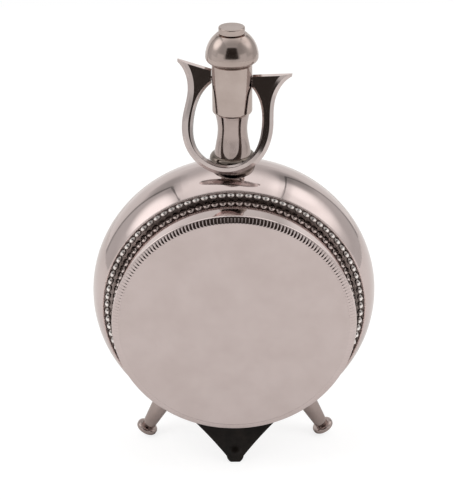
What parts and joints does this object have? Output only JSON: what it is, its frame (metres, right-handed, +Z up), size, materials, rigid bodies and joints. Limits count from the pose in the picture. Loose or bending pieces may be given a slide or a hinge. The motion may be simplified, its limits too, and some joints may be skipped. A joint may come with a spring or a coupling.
{
  "type": "round standing flask",
  "caption": "Round metal drum flask on splayed peg legs and a front tongue foot, with a beaded border, a long neck, a domed screw stopper and a swinging horned bow.",
  "frame": {"origin": "on the floor under the middle of the body", "axes": "+Z up along the neck, front face towards -Y, +X to the right seen from the front"},
  "size_m": [0.112, 0.058, 0.1816],
  "materials": {
    "front_body_shell": "polished, silver-plated",
    "back_body_shell": "polished, silver-plated",
    "seam_band": "soldered joint band, inside",
    "front_bezel": "polished, silver-plated",
    "back_bezel": "polished, silver-plated",
    "front_face_plate": "smooth plain silver plate",
    "back_face_plate": "smooth plain silver plate",
    "front_bead_border": "polished, silver-plated",
    "back_bead_border": "polished, silver-plated",
    "front_border_wire": "polished, silver-plated",
    "back_border_wire": "polished, silver-plated",
    "neck_flange": "polished, silver-plated",
    "neck_tube": "polished, silver-plated",
    "neck_lock_ring": "machined brass",
    "mouth_collar": "polished, silver-plated",
    "mouth_bush": "machined brass",
    "right_leg": "polished, silver-plated",
    "left_leg": "polished, silver-plated",
    "right_foot": "polished, silver-plated",
    "left_foot": "polished, silver-plated",
    "tongue_foot": "glossy black lacquer",
    "tongue_button": "glossy black lacquer",
    "stopper_washer": "matte sealing washer",
    "stopper_plug": "machined brass",
    "stopper_base_ring": "polished, silver-plated",
    "stopper_dome": "polished, silver-plated",
    "stopper_button": "polished, silver-plated",
    "horned_bow": "polished, silver-plated",
    "right_bow_pin": "polished, silver-plated",
    "left_bow_pin": "polished, silver-plated"
  },
  "bodies": {
    "flask": {"front_body_shell": "front_body_shell", "back_body_shell": "back_body_shell", "seam_band": "seam_band", "front_bezel": "front_bezel", "back_bezel": "back_bezel", "front_face_plate": "front_face_plate", "back_face_plate": "back_face_plate", "front_bead_border": "front_bead_border", "back_bead_border": "back_bead_border", "front_border_wire": "front_border_wire", "back_border_wire": "back_border_wire", "neck_flange": "neck_flange", "neck_tube": "neck_tube", "neck_lock_ring": "neck_lock_ring", "mouth_collar": "mouth_collar", "mouth_bush": "mouth_bush", "right_leg": "right_leg", "left_leg": "left_leg", "right_foot": "right_foot", "left_foot": "left_foot", "tongue_foot": "tongue_foot", "tongue_button": "tongue_button"},
    "stopper_seal": {"stopper_washer": "stopper_washer"},
    "stopper": {"stopper_plug": "stopper_plug", "stopper_base_ring": "stopper_base_ring", "stopper_dome": "stopper_dome", "stopper_button": "stopper_button"},
    "bow": {"horned_bow": "horned_bow", "right_bow_pin": "right_bow_pin", "left_bow_pin": "left_bow_pin"}
  },
  "joints": [
    {"name": "stopper_lift", "type": "slide", "parent": "flask", "child": "stopper_seal", "axis": [0, 0, 1], "range_m": [0, 0.009]},
    {"name": "stopper_turn", "type": "hinge", "parent": "stopper_seal", "child": "stopper", "pos_m": [0, 0, 0.16758], "axis": [0, 0, 1], "range_deg": [0, 2161]},
    {"name": "bow_swing", "type": "hinge", "parent": "flask", "child": "bow", "pos_m": [0, 0, 0.16138], "axis": [-0.9877, 0.1564, 0], "range_deg": [0, 320]}
  ],
  "couplings": [
    {"joint": "stopper_turn", "follows": "stopper_lift", "rad_per_m": 4188.8}
  ]
}
